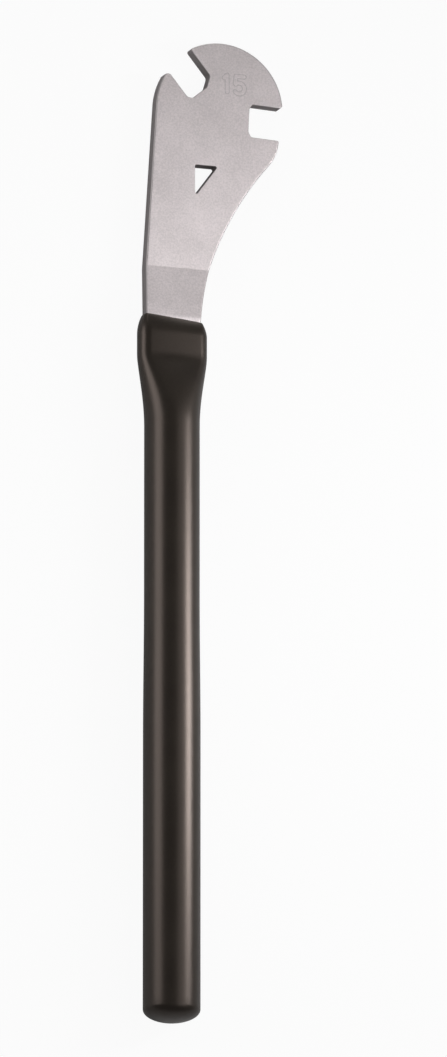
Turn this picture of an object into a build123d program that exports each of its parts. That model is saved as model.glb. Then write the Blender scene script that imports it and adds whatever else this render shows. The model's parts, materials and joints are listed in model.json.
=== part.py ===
from build123d import *
from math import asin, atan2, cos, degrees, hypot, pi, radians, sin, sqrt, tan
import os

# Pedal wrench for bicycle pedals with 15 mm spindle flats. It is drawn with the handle's axis along Y, the head
# towards +Y, Y = 0 at the edge of the grip, and the plate's face up. At the end it is laid on the ground as it rests.

# Jaws, open 15 mm spanner mouths. A throat is the floor of a jaw, a heading the way out of its mouth.
jaw_width = 15.0
side_throat = Vector(37.2, 94.45)
side_heading = -2.5
side_corner = Vector(1.3, 2.2)
side_throat_rounding = 0.9
top_throat = Vector(15.0, 106.15)
top_heading = 129.2
top_crown_corner = Vector(3.2, 4.6)
top_tooth_corner = Vector(1.9, 1.7)
top_throat_rounding = 1.8

# Outline of the head plate
plate_thickness = 6.0
crown_centre = Vector(24.1, 99.65)
crown_radius = 29.2
cheek_start = 98.6
cheek_radius = 31.5
left_foot = 13.37
left_lean = 3.68
right_foot = 12.2
waist = Vector(24.2, 38.9)
nose_start = Vector(46.6, 74.3)
nose_reach = 13.4
tooth_rounding = 2.1
crown_tip_rounding = 0.8
crown_tip_bevel = 1.2
nose_tip_rounding = 1.0
edge_break = 0.4

# Hanging hole, a right-angled triangle
hole_corner = Vector(11.65, 71.9)
hole_width = 10.75
hole_height = 14.6
hole_rounding = 0.7

# Crank, which sets the head back behind the handle's axis
crank_height = 5.0
crank_start = 0.0
crank_length = 23.4
bend_radius = 5.0

# Tang, the plate's narrow end inside the tube
tang_width = 22.0
tang_tip_width = 14.0
tang_length = 38.0
tang_clearance = 0.1

# Handle tube
tube_diameter = 22.2
tube_wall = 1.5
tube_mouth = -5.0
flat_end = -18.0
round_start = -50.0
tube_end = -317.8
butt_bevel = 3.4
butt_thickness = 2.2
flat_corner = 3.2
flat_crown = 0.12
neck_haste = 0.62

# Grip, a dipped vinyl coat that is a little thicker on the lower part
grip_thickness = 1.25
grip_swell = 0.4
swell_start = -128.0
swell_end = -191.0
grip_dome = 5.8
grip_butt = -314.3
lip_edge = -0.6
lip_run = 8.0
lip_thickness = 0.6
lip_side_thickness = 0.75
lip_corner = 1.2
lip_slant = 5.4

mean_radius = (tube_diameter - tube_wall) / 2
neck_radius = tube_diameter / 2 + grip_thickness
grip_radius = neck_radius + grip_swell
crank_end = crank_start + crank_length
head_back = -crank_height - plate_thickness / 2
crown_top = crown_centre.Y + crown_radius

# Angles between an oval's side, corner and face arcs, on the lip, the pressed flat and the round part
lip_angles = (8.0, 88.0)
flat_angles = (14.0, 88.0)
round_angles = (22.5, 67.5)


class Oval:
    """A closed curve of eight tangent arcs: two sides, two faces and four corners between them."""

    def __init__(self, half_width, half_thickness, corner, angles):
        self.half_width = half_width
        self.half_thickness = half_thickness
        self.corner = corner
        self.angles = angles
        side, face = radians(angles[0]), radians(angles[1])
        # The arcs meet in line where these two sums hold, one for the width and one for the thickness
        width_sum = half_width - corner * (cos(side) - cos(face))
        thickness_sum = half_thickness - corner * (sin(face) - sin(side))
        scale = (1 - cos(side)) * (1 - sin(face)) - sin(side) * cos(face)
        self.side_radius = (width_sum * (1 - sin(face)) - thickness_sum * cos(face)) / scale
        self.face_radius = (thickness_sum * (1 - cos(side)) - width_sum * sin(side)) / scale

    def quarter_length(self):
        """The length of a quarter of the curve."""
        side, face = radians(self.angles[0]), radians(self.angles[1])
        return self.side_radius * side + self.corner * (face - side) + self.face_radius * (pi / 2 - face)

    def grown(self, amount):
        """The curve that runs outside this one at an even distance."""
        return Oval(self.half_width + amount, self.half_thickness + amount, self.corner + amount, self.angles)

    def blended(self, other, share):
        """The curve on the way from this one to another."""
        def mix(here, there):
            return here + (there - here) * share

        angles = tuple(mix(here, there) for here, there in zip(self.angles, other.angles))
        return Oval(
            mix(self.half_width, other.half_width),
            mix(self.half_thickness, other.half_thickness),
            mix(self.corner, other.corner),
            angles,
        )

    def arcs(self):
        """The curve's eight arcs about the origin, kept apart also where they make one circle."""
        side, face = self.angles
        side_centre = self.half_width - self.side_radius
        face_centre = self.half_thickness - self.face_radius
        corner_x = side_centre + (self.side_radius - self.corner) * cos(radians(side))
        corner_y = (self.side_radius - self.corner) * sin(radians(side))
        return [
            CenterArc((side_centre, 0), self.side_radius, -side, 2 * side),
            CenterArc((corner_x, corner_y), self.corner, side, face - side),
            CenterArc((0, face_centre), self.face_radius, face, 180 - 2 * face),
            CenterArc((-corner_x, corner_y), self.corner, 180 - face, face - side),
            CenterArc((-side_centre, 0), self.side_radius, 180 - side, 2 * side),
            CenterArc((-corner_x, -corner_y), self.corner, 180 + side, face - side),
            CenterArc((0, -face_centre), self.face_radius, 180 + face, 180 - 2 * face),
            CenterArc((corner_x, -corner_y), self.corner, 360 - face, face - side),
        ]


def keep_length(half_thickness, corner, angles):
    """The oval of this thickness that is as long around as the round tube's mid-wall, as pressing leaves it."""
    length = pi / 2 * mean_radius
    narrow = Oval(mean_radius, half_thickness, corner, angles).quarter_length()
    wide = Oval(mean_radius + 1, half_thickness, corner, angles).quarter_length()
    return Oval(mean_radius + (length - narrow) / (wide - narrow), half_thickness, corner, angles)


flat_half = plate_thickness / 2 + tang_clearance + flat_crown + tube_wall / 2


def tube_section(y):
    """The mid-wall of the tube at one place: flat round the tang, then swelling fast and easing into the round."""
    step = min(max((flat_end - y) / (flat_end - round_start), 0), 1) ** neck_haste
    share = 3 * step**2 - 2 * step**3
    half_thickness = flat_half + (mean_radius - flat_half) * share
    corner = flat_corner + (mean_radius - flat_corner) * share
    angles = tuple(flat + (full - flat) * share for flat, full in zip(flat_angles, round_angles))
    return keep_length(half_thickness, corner, angles)


def section_of(oval, y, slant=0.0):
    """An oval set across the handle, turned a little towards one side by the slant."""
    across = Vector(cos(radians(slant)), -sin(radians(slant)), 0)
    plane = Plane(origin=(0, y, 0), x_dir=across, z_dir=across.cross(Vector(0, 0, 1)))
    return Face(Wire(oval.arcs())).moved(plane.location)


def station_places(first, count, last, crowding=1.0):
    """Places from the first to the last, both of them included, crowded towards the first."""
    return [first + (last - first) * (step / count) ** crowding for step in range(count + 1)]


neck_stations = station_places(flat_end, 10, round_start, 1.5)


def press_end(amount, start, mode=Mode.ADD):
    """The pressed end at a distance from the tube's mid-wall: the even flat, then the neck up to the round."""
    extrude(section_of(tube_section(start).grown(amount), start).faces(), amount=start - flat_end, mode=mode)
    loft([section_of(tube_section(y).grown(amount), y) for y in neck_stations], mode=mode)


def turn_tube(radius, end, bevel, mode=Mode.ADD):
    """Turns the round part of the tube with its closed butt, which is bevelled round its rim."""
    with BuildSketch(Plane.XY) as profile:
        with BuildLine():
            Polyline(
                (0, round_start),
                (radius, round_start),
                (radius, end + bevel),
                (radius - bevel, end),
                (0, end),
                close=True,
            )
        make_face()
    revolve(profile.sketch, axis=Axis.Y, mode=mode)


class Jaw:
    """An open jaw: the middle of its throat, and the directions out of its mouth and across it."""

    def __init__(self, throat, heading):
        self.throat = throat
        self.out = Vector(cos(radians(heading)), sin(radians(heading)))
        self.across = Vector(-sin(radians(heading)), cos(radians(heading)))

    def point(self, out, across):
        """The point this far out of the throat and this far across the jaw."""
        return self.throat + self.out * out + self.across * across

    def meets(self, centre, radius, across=0.0):
        """Where a line out of the jaw crosses a circle round the head."""
        start = self.point(0, across)
        along = (start - centre).dot(self.out)
        out = -along + sqrt(along**2 - (start - centre).length ** 2 + radius**2)
        return self.point(out, across)

    def cut(self, near_corner, far_corner, rounding):
        """Cuts the jaw out of the sketch in hand. A corner is bevelled by its depth and width, then rounded."""
        half = jaw_width / 2
        beyond = 2 * jaw_width
        with BuildLine() as edge:
            FilletPolyline(
                self.point(beyond, half),
                self.point(near_corner.X, half),
                self.point(0, half - near_corner.Y),
                self.point(0, far_corner.Y - half),
                self.point(far_corner.X, -half),
                self.point(beyond, -half),
                radius=(0, rounding, rounding, rounding, rounding, 0),
                close=True,
            )
        make_face(edge.edges(), mode=Mode.SUBTRACT)


side_jaw = Jaw(side_throat, side_heading)
top_jaw = Jaw(top_throat, top_heading)

# Left edge: straight and leaning a little inwards, then bent round the cheek up to the tooth
lean = radians(left_lean)
cheek = Vector(-left_foot + (cheek_start - tube_mouth) * tan(lean), cheek_start)
cheek_centre = cheek + Vector(cos(lean), -sin(lean)) * cheek_radius
cheek_end = top_jaw.meets(cheek_centre, cheek_radius)
cheek_middle = cheek_centre + (cheek + cheek_end - cheek_centre * 2).normalized() * cheek_radius
crown_left = top_jaw.meets(crown_centre, crown_radius)
crown_right = side_jaw.meets(crown_centre, crown_radius)
nose_end = side_jaw.point(nose_reach, 0)
half_jaw = jaw_width / 2
tang_end = tube_mouth - tang_length

with BuildSketch(Plane.XY) as plate_outline:
    with BuildLine():
        left_shoulder = Vector(-left_foot, tube_mouth)
        right_shoulder = Vector(right_foot, tube_mouth)
        Line(left_shoulder, cheek)
        ThreePointArc(cheek, cheek_middle, cheek_end)
        Line(cheek_end, crown_left)
        ThreePointArc(crown_left, crown_centre + Vector(0, crown_radius), crown_right)
        Line(crown_right, nose_end)
        waist_arc = ThreePointArc(right_shoulder, waist, nose_start)
        TangentArc(nose_start, nose_end, tangent=waist_arc % 1)
        Polyline(
            right_shoulder,
            (tang_width / 2, tube_mouth),
            (tang_width / 2, flat_end),
            (tang_tip_width / 2, tang_end),
            (-tang_tip_width / 2, tang_end),
            (-tang_width / 2, flat_end),
            (-tang_width / 2, tube_mouth),
            left_shoulder,
        )
    make_face()
    side_jaw.cut(side_corner, side_corner, side_throat_rounding)
    top_jaw.cut(top_tooth_corner, top_crown_corner, top_throat_rounding)
    with BuildLine():
        FilletPolyline(
            hole_corner,
            hole_corner + Vector(hole_width, 0),
            hole_corner - Vector(0, hole_height),
            radius=hole_rounding,
            close=True,
        )
    make_face(mode=Mode.SUBTRACT)
    corners = plate_outline.vertices()
    tooth_tip = corners.sort_by_distance(top_jaw.meets(cheek_centre, cheek_radius, half_jaw))[0]
    crown_left_tip = corners.sort_by_distance(top_jaw.meets(crown_centre, crown_radius, -half_jaw))[0]
    crown_right_tip = corners.sort_by_distance(side_jaw.meets(crown_centre, crown_radius, half_jaw))[0]
    nose_tip = corners.sort_by_distance(side_jaw.point(nose_reach, -half_jaw))[0]
    fillet(tooth_tip, tooth_rounding)
    fillet(crown_left_tip, crown_tip_rounding)
    fillet(nose_tip, nose_tip_rounding)
    chamfer(crown_right_tip, crown_tip_bevel)

# The plate is a cranked strip, cut to the outline
with BuildPart() as head_plate:
    with BuildLine(Plane.YZ) as crank_line:
        FilletPolyline(
            (tang_end - 1, 0),
            (crank_start, 0),
            (crank_end, -crank_height),
            (crown_top + 1, -crank_height),
            radius=bend_radius,
        )
    with BuildSketch(Plane(origin=crank_line.line @ 0, x_dir=(1, 0, 0), z_dir=(0, 1, 0))):
        Rectangle(2 * (crown_centre.X + crown_radius + 1), plate_thickness)
    sweep(path=crank_line.line)
    with BuildSketch(Plane.XY):
        add(plate_outline.sketch)
    extrude(amount=crank_height + plate_thickness, both=True, mode=Mode.INTERSECT)
    # The edges round the upper face are broken, all the way from the shoulders
    upper_faces = head_plate.faces().filter_by(lambda face: face.normal_at().Z > 0.5)
    side_edges = head_plate.faces().filter_by(lambda face: abs(face.normal_at().Z) < 0.5).edges()
    upper_rim = upper_faces.edges().filter_by(lambda edge: edge.center().Y > tube_mouth and edge in side_edges)
    chamfer(upper_rim, edge_break)

with BuildPart() as handle_tube:
    press_end(tube_wall / 2, tube_mouth)
    turn_tube(tube_diameter / 2, tube_end, butt_bevel)
    press_end(-tube_wall / 2, tube_mouth, mode=Mode.SUBTRACT)
    turn_tube(tube_diameter / 2 - tube_wall, tube_end + butt_thickness, butt_bevel - tube_wall, Mode.SUBTRACT)

lip_half_width = (left_foot + right_foot) / 2 + lip_side_thickness
lip_oval = Oval(lip_half_width, plate_thickness / 2 + lip_thickness, lip_corner, lip_angles)


def grip_section(y):
    """The outside of the grip: it starts thin and aslant on the plate and rises over the tube's mouth."""
    share = min((lip_edge - y) / lip_run, 1)
    over_tube = tube_section(y).grown(tube_wall / 2 + grip_thickness)
    return section_of(lip_oval.blended(over_tube, 1 - (1 - share) ** 2), y, lip_slant * (1 - share))


with BuildPart() as grip_skin:
    loft([grip_section(y) for y in station_places(lip_edge, 6, lip_edge - lip_run)])
    press_end(tube_wall / 2 + grip_thickness, lip_edge - lip_run)
    with BuildSketch(Plane.XY):
        with BuildLine():
            Polyline(
                (0, grip_butt - grip_dome),
                (0, round_start),
                (neck_radius, round_start),
                (neck_radius, swell_start),
                (grip_radius, swell_end),
                (grip_radius, grip_butt),
            )
            EllipticalCenterArc((0, grip_butt), grip_radius, grip_dome, start_angle=-90, arc_size=90)
        make_face()
    revolve(axis=Axis.Y)
    press_end(tube_wall / 2, tube_mouth, mode=Mode.SUBTRACT)
    turn_tube(tube_diameter / 2, tube_end, butt_bevel, mode=Mode.SUBTRACT)
    add(head_plate.part, mode=Mode.SUBTRACT)

# Laid down, the wrench rolls about its handle until the crown's back edge touches the ground
edge_reach = head_plate.part.bounding_box().max.X
roll = asin(grip_radius / hypot(edge_reach, head_back)) - atan2(-head_back, edge_reach)
pieces = (head_plate, handle_tube, grip_skin)
for piece in pieces:
    piece.part.move(Location((0, 0, 0), (0, degrees(roll), 0)))

# The origin goes to the middle of the ground under the whole wrench
around = Compound([piece.part for piece in pieces]).bounding_box()
to_origin = Location((-around.center().X, -around.center().Y, -around.min.Z))
for piece in pieces:
    piece.part.move(to_origin)

head_plate.part.label = "head_plate"
handle_tube.part.label = "handle_tube"
grip_skin.part.label = "grip_skin"
os.makedirs("parts", exist_ok=True)
export_step(head_plate.part, "parts/head_plate.step")
export_step(handle_tube.part, "parts/handle_tube.step")
export_step(grip_skin.part, "parts/grip_skin.step")
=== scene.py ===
"""The looks of a pedal wrench: a plated steel head with two open jaws on a tube handle dipped in black vinyl.

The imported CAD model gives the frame. The head and the grip are built again here as fine surfaces of the
same sizes, with broken edges, a stamped size number and the coat's rolled lip, and everything is lit on a
pale studio floor. Lengths in the shapes are millimetres in the drawn frame: X across the handle, Y along it
towards the head with Y = 0 at the coat's edge, and Z out of the plate's upper face.
"""

import json
import logging
import math
from dataclasses import dataclass, field
from enum import Enum
from typing import Any, Sequence

import bmesh
import bpy
import numpy as np
from mathutils import Matrix, Vector
from mathutils.geometry import delaunay_2d_cdt

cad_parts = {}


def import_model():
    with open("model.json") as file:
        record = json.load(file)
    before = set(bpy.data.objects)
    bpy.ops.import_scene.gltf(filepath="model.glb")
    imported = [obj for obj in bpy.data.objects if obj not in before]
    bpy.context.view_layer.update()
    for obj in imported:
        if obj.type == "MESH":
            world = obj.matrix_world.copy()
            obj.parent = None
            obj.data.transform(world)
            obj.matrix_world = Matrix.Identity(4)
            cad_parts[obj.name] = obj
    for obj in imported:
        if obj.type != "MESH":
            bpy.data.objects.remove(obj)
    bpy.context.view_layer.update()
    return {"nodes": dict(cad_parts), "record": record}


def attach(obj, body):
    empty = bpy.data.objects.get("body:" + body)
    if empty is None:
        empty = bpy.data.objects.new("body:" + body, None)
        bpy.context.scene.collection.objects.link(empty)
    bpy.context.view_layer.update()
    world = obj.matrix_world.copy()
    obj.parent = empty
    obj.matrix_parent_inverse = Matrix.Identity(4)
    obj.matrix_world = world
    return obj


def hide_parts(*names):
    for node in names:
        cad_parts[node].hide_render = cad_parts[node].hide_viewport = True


MM = 0.001
LOG = logging.getLogger("pedal_wrench")

# The point attribute that marks where the finish is darkened: cut walls, partly their own darker finish and
# partly painted shade, and the stamped number's groove, which is painted shade
WALL_AND_SHADE = "wall"

# The usual step along an arc, in millimetres, the fewest steps of an arc, and how many steps a rounded
# corner has to its radius
ARC_STEP = 0.6
FEWEST_STEPS = 4
STEPS_TO_RADIUS = 5.0

# Points of a mesh nearer than this, in metres, are one point, and triangles smaller than this, in square
# millimetres, are slivers
SAME_PLACE = 1e-7
SLIVER = 1e-6

Array = np.ndarray
Colour = tuple[float, float, float]


class Socket(Enum):
    """The kinds of socket a shader node group is given."""

    NUMBER = "NodeSocketFloat"
    DIRECTION = "NodeSocketVector"


class Slot(Enum):
    """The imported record's material slots, which are also the names of its nodes."""

    HEAD = "head_plate"
    TUBE = "handle_tube"
    GRIP = "grip_skin"


# Shapes worked out as whole arrays


def smooth_step(share: Array) -> Array:
    """Eases a share from 0 to 1 as 3s^2 - 2s^3, level at both ends."""
    held = np.clip(share, 0.0, 1.0)
    return held * held * (3.0 - 2.0 * held)


def unit(ways: Array) -> Array:
    """Each direction over its own length."""
    return ways / np.linalg.norm(ways, axis=-1, keepdims=True)


def left_of(ways: Array) -> Array:
    """Each direction a quarter turn to its left, which is minus its Y and then its X."""
    return np.stack([-ways[..., 1], ways[..., 0]], axis=-1)


def run_on(stops: Sequence[float], counts: Sequence[int]) -> Array:
    """Places from the first stop to the last, with each run between two stops split evenly by its count."""
    runs = [np.linspace(start, end, count + 1)[1:] for start, end, count in zip(stops, stops[1:], counts)]
    return np.concatenate([[stops[0]], *runs])


def grid_quads(rows: int, columns: int, first: int = 0) -> Array:
    """The quads of a grid whose columns close round: two points beside each other and the two a row on.

    Args:
        rows: How many rows of points there are.
        columns: How many points each row has.
        first: The index of the grid's first point.

    Returns:
        One line of four point indices for each quad.
    """
    row, column = np.meshgrid(np.arange(rows - 1), np.arange(columns), indexing="ij")
    beside = (column + 1) % columns
    corners = ((row, column), (row, beside), (row + 1, beside), (row + 1, column))
    return np.stack([line * columns + place for line, place in corners], axis=-1).reshape(-1, 4) + first


def fan(first: int, columns: int, pole: int) -> Array:
    """The triangles that close a row of points, from its first point's index, to one pole."""
    column = np.arange(columns)
    return np.stack([first + (column + 1) % columns, first + column, np.full(columns, pole)], axis=-1)


def arc(centre: Sequence[float], radius: float, start: float, end: float, step: float = ARC_STEP) -> Array:
    """Points along a circular arc.

    Each is the centre plus the radius times the cosine and sine of one of an even run of angles.

    Args:
        centre: The arc's centre.
        radius: Its radius.
        start: The first angle, in radians.
        end: The last angle, in radians.
        step: About how far apart the points are.

    Returns:
        The points, both ends included.
    """
    count = max(int(abs(end - start) * radius / step), FEWEST_STEPS)
    angle = np.linspace(start, end, count + 1)
    return np.array(centre) + radius * np.stack([np.cos(angle), np.sin(angle)], axis=-1)


def arc_from_centre(centre: Array, first: Array, last: Array, step: float = ARC_STEP) -> Array:
    """Points along the shorter arc about a centre, between the angles of two places seen from it.

    Args:
        centre: The arc's centre.
        first: The place where it starts, which gives its radius.
        last: A place in line with its end.
        step: About how far apart the points are.

    Returns:
        The points, both ends included.
    """
    start, end = (math.atan2(*(place - centre)[::-1]) for place in (first, last))
    turn = (end - start + math.pi) % (2.0 * math.pi) - math.pi
    return arc(centre, float(np.linalg.norm(first - centre)), start, start + turn, step)


def arc_through(first: Array, middle: Array, last: Array) -> Array:
    """Points along the arc through three places.

    The centre is as far from each place. Taking the squares of such distances from each other leaves two
    plain equations for it: twice the side between two places times the centre is the difference of their
    squares.

    Args:
        first: Where the arc starts.
        middle: A place on the way.
        last: Where it ends.

    Returns:
        The points, both ends included.
    """
    sides = 2.0 * np.array([middle - first, last - middle])
    squares = np.array([middle @ middle - first @ first, last @ last - middle @ middle])
    return arc_from_centre(np.linalg.solve(sides, squares), first, last)


def tangent_arc(first: Array, heading: Array, last: Array) -> Array:
    """Points along the arc that leaves one place in a heading and ends at another.

    The centre lies beside the start, at right angles to the heading, by the chord's square over twice its
    part along that side.

    Args:
        first: Where the arc starts.
        heading: The direction in which it leaves.
        last: Where it ends.

    Returns:
        The points, both ends included.
    """
    beside = unit(left_of(heading))
    chord = last - first
    return arc_from_centre(first + beside * (chord @ chord) / (2.0 * (chord @ beside)), first, last)


def round_corner(loop: Array, corner: Array, radius: float) -> Array:
    """Rounds the corner of a closed loop that is nearest to a place.

    The points within the rounding's reach of the corner make way for an arc that leaves both sides in line.
    The reach is the radius over the tangent of half the corner, and the centre lies out along the corner's
    bisector by the radius over the sine of that half.

    Args:
        loop: The loop's points in order.
        corner: A place at or beside the corner.
        radius: The rounding's radius.

    Returns:
        The loop's points with the arc in place of the corner.
    """
    place = int(np.argmin(np.linalg.norm(loop - corner, axis=1)))
    turned = np.roll(loop, -place, axis=0)
    tip, kept = turned[0], turned[1:]
    ahead, behind = unit(kept[0] - tip), unit(kept[-1] - tip)
    half = math.acos(float(np.clip(ahead @ behind, -1.0, 1.0))) / 2.0
    reach = radius / math.tan(half)
    centre = tip + unit(ahead + behind) * radius / math.sin(half)
    bend = arc_from_centre(centre, tip + behind * reach, tip + ahead * reach, radius / STEPS_TO_RADIUS)
    just_past = reach * 1.02
    return np.concatenate([bend, kept[np.linalg.norm(kept - tip, axis=1) > just_past]])


def refine(loop: Array, longest: float, where: tuple[float, float] | None = None) -> Array:
    """Splits the long sides of a closed loop into even pieces.

    A new point is a share of the side's end and the rest of its start.

    Args:
        loop: The loop's points in order.
        longest: The longest side that is left.
        where: The range of Y in which sides are split, or all of them.

    Returns:
        The loop with the new points on its sides.
    """
    after = np.roll(loop, -1, axis=0)
    pieces = np.maximum(np.ceil(np.linalg.norm(after - loop, axis=1) / longest).astype(int), 1)
    if where is not None:
        middle = (loop[:, 1] + after[:, 1]) / 2.0
        pieces = np.where((middle > where[0]) & (middle < where[1]), pieces, 1)
    side = np.repeat(np.arange(len(loop)), pieces)
    step = np.arange(len(side)) - np.repeat(np.cumsum(pieces) - pieces, pieces)
    share = (step / pieces[side])[:, None]
    return loop[side] * (1.0 - share) + after[side] * share


def inset(loop: Array, amounts: Array) -> Array:
    """Moves a closed loop that runs with its material on the left inwards.

    Each point goes along the bisector of its sides' normals, by its amount over the bisector's part along
    one of them, so both sides move by the amount.

    Args:
        loop: The loop's points in order.
        amounts: How far each point's sides move, one line for each point.

    Returns:
        The moved points.
    """
    after = unit(np.roll(loop, -1, axis=0) - loop)
    normals = left_of(after)
    bisectors = unit(normals + np.roll(normals, 1, axis=0))
    return loop + bisectors * amounts / np.sum(bisectors * normals, axis=1, keepdims=True)


def inside(points: Array, loop: Array) -> Array:
    """Whether each point is inside a closed loop: a ray to its right crosses it an odd number of times.

    Args:
        points: One line of X and Y for each point.
        loop: The loop's points in order.

    Returns:
        One yes or no for each point.
    """
    x, y = points[:, 0, None], points[:, 1, None]
    x0, y0 = loop.T[:, None]
    x1, y1 = np.roll(loop, -1, axis=0).T[:, None]
    spans = (y0 > y) != (y1 > y)
    rise = np.where(y1 == y0, 1.0, y1 - y0)
    crossing = x0 + (y - y0) * (x1 - x0) / rise
    return np.sum(spans & (x < crossing), axis=1) % 2 == 1


def distance_to_strokes(points: Array, strokes: Array) -> Array:
    """How far each point is from the nearest of a set of straight strokes.

    The nearest place on a stroke is the point's part along it, held between its ends.

    Args:
        points: One line of X and Y for each point.
        strokes: One line of start X, start Y, end X and end Y for each stroke.

    Returns:
        The distance of each point from its nearest stroke.
    """
    start, along = strokes[None, :, :2], (strokes[:, 2:] - strokes[:, :2])[None]
    offset = points[:, None, :] - start
    share = np.clip(np.sum(offset * along, axis=2) / np.sum(along * along, axis=2), 0.0, 1.0)
    return np.linalg.norm(offset - share[:, :, None] * along, axis=2).min(axis=1)


# Objects in the scene


def add_object(name: str, data: bpy.types.ID) -> bpy.types.Object:
    """Puts a new object into the scene.

    Args:
        name: The object's name.
        data: The mesh, lamp or camera that it shows.

    Returns:
        The object.
    """
    made = bpy.data.objects.new(name, data)
    bpy.context.scene.collection.objects.link(made)
    return made


def stand(made: bpy.types.Object, place: Vector, right: Vector, back: Vector) -> None:
    """Stands a lamp or camera at a place, its X to the right, its Z to the back and its Y square to both."""
    turned = Matrix((right, back.cross(right), back)).transposed().to_4x4()
    made.matrix_world = Matrix.Translation(place) @ turned


def make_mesh(
    name: str, points: Array, faces: list[list[int]], sharp_degrees: float, wall: Array | None = None
) -> bpy.types.Object:
    """Puts points and faces into a closed mesh, with its faces turned outwards and its bends shaded smooth.

    Args:
        name: The object's name.
        points: Its points in the row frame, in metres.
        faces: The point indices of each face.
        sharp_degrees: The angle past which an edge stays sharp.
        wall: For each point, from 0 on a face to 1 on a cut wall, with a part of 1 in the number's groove for
            painted shade, or nothing for a piece without cut walls.

    Returns:
        The new object, in the scene.
    """
    mesh = bpy.data.meshes.new(name)
    mesh.from_pydata(points.tolist(), [], faces)
    if wall is not None:
        mesh.attributes.new(WALL_AND_SHADE, "FLOAT", "POINT").data.foreach_set("value", wall.astype(np.float32))
    work = bmesh.new()
    work.from_mesh(mesh)
    bmesh.ops.remove_doubles(work, verts=work.verts, dist=SAME_PLACE)
    bmesh.ops.recalc_face_normals(work, faces=work.faces)
    work.to_mesh(mesh)
    work.free()
    mesh.shade_smooth()
    mesh.set_sharp_from_angle(angle=math.radians(sharp_degrees))
    return add_object(name, mesh)


def report(piece: bpy.types.Object) -> None:
    """Logs a piece's name, how many faces it has, and its size, the spread of its points along each axis.

    Args:
        piece: The piece.
    """
    places = np.empty(3 * len(piece.data.vertices), np.float32)
    piece.data.vertices.foreach_get("co", places)
    size = np.ptp(places.reshape(-1, 3), axis=0) / MM
    LOG.info("%s: %d faces, %s mm", piece.name, len(piece.data.polygons), np.round(size, 1))


@dataclass(frozen=True)
class LaidFrame:
    """How the wrench lies: its drawn frame rolled about the handle and moved to the row's frame.

    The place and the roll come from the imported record, so the pieces follow the CAD model.

    Attributes:
        roll: The turn about the handle, in radians.
        place: Where the drawn frame's origin is, in metres.
    """

    roll: float
    place: tuple[float, float, float]

    @classmethod
    def of_record(cls, record: dict[str, Any], grip_middle: float) -> "LaidFrame":
        """Reads the roll from the head face's normal and the place from the middle of the grip.

        Args:
            record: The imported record.
            grip_middle: The drawn Y of the grip's mount, in millimetres.

        Returns:
            The frame.
        """
        mounts = {mount["name"]: mount for mount in record["mounts"]}
        normal = mounts["head_face"]["axis"]
        x, y, z = mounts["grip"]["pos_m"]
        return cls(math.atan2(normal[0], normal[2]), (x, y - grip_middle * MM, z))

    def turn(self, drawn: Array) -> Array:
        """Turns drawn directions about the handle's axis: X and Z mix by the roll, and Y stays.

        Args:
            drawn: The directions in the drawn frame.

        Returns:
            The directions in the row's frame.
        """
        x, y, z = np.moveaxis(np.asarray(drawn, float), -1, 0)
        cosine, sine = math.cos(self.roll), math.sin(self.roll)
        return np.stack([x * cosine + z * sine, y, z * cosine - x * sine], axis=-1)

    def lay(self, drawn: Array) -> Array:
        """Turns drawn points in millimetres into row points in metres."""
        return self.turn(drawn) * MM + np.array(self.place)


# Shader groups and finishes


def add_node(
    tree: bpy.types.NodeTree, kind: str, values: dict[str | int, Any] | None = None, **settings: Any
) -> bpy.types.Node:
    """Adds a node to a tree and sets it up.

    Args:
        tree: The tree.
        kind: The node's type name.
        values: The values of its input sockets, by name or place.
        **settings: Its properties and their values.

    Returns:
        The node.
    """
    node = tree.nodes.new(kind)
    for label, value in settings.items():
        setattr(node, label, value)
    for label, value in (values or {}).items():
        node.inputs[label].default_value = value
    return node


class ShaderGroup:
    """A shader node group with named sockets, built once and placed in several materials."""

    def __init__(self, name: str, inputs: dict[str, Socket], outputs: dict[str, Socket]) -> None:
        """Makes the empty group with its sockets.

        Args:
            name: The group's name.
            inputs: The name and kind of each value that it takes.
            outputs: The name and kind of each value that it gives.
        """
        self.tree = bpy.data.node_groups.new(name, "ShaderNodeTree")
        for in_out, sockets in (("INPUT", inputs), ("OUTPUT", outputs)):
            for label, kind in sockets.items():
                self.tree.interface.new_socket(label, in_out=in_out, socket_type=kind.value)
        self.taken = self.tree.nodes.new("NodeGroupInput").outputs
        self.given = self.tree.nodes.new("NodeGroupOutput").inputs


def grain_group() -> ShaderGroup:
    """Fine grain over slow clouds, both from noise on the piece's own coordinates.

    The mottle is the share of the clouds' noise plus the rest of the grain's.

    Returns:
        The group: it takes a Vector, the Grain and Cloud scales and the Share of the clouds, and gives a
        Height for a bump and a Mottle from 0 to 1 for colour and roughness.
    """
    scales = dict.fromkeys(("Grain", "Cloud", "Share"), Socket.NUMBER)
    results = dict.fromkeys(("Height", "Mottle"), Socket.NUMBER)
    group = ShaderGroup("Grain and Clouds", {"Vector": Socket.DIRECTION, **scales}, results)
    fine = add_node(group.tree, "ShaderNodeTexNoise", {"Detail": 3.0, "Roughness": 0.6})
    slow = add_node(group.tree, "ShaderNodeTexNoise", {"Detail": 2.0, "Roughness": 0.5})
    mixed = add_node(group.tree, "ShaderNodeMix", data_type="FLOAT")
    join = group.tree.links.new
    for texture, scale, side in ((fine, "Grain", "A"), (slow, "Cloud", "B")):
        join(group.taken["Vector"], texture.inputs["Vector"])
        join(group.taken[scale], texture.inputs["Scale"])
        join(texture.outputs["Fac"], mixed.inputs[side])
    join(group.taken["Share"], mixed.inputs["Factor"])
    join(fine.outputs["Fac"], group.given["Height"])
    join(mixed.outputs["Result"], group.given["Mottle"])
    return group


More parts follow.
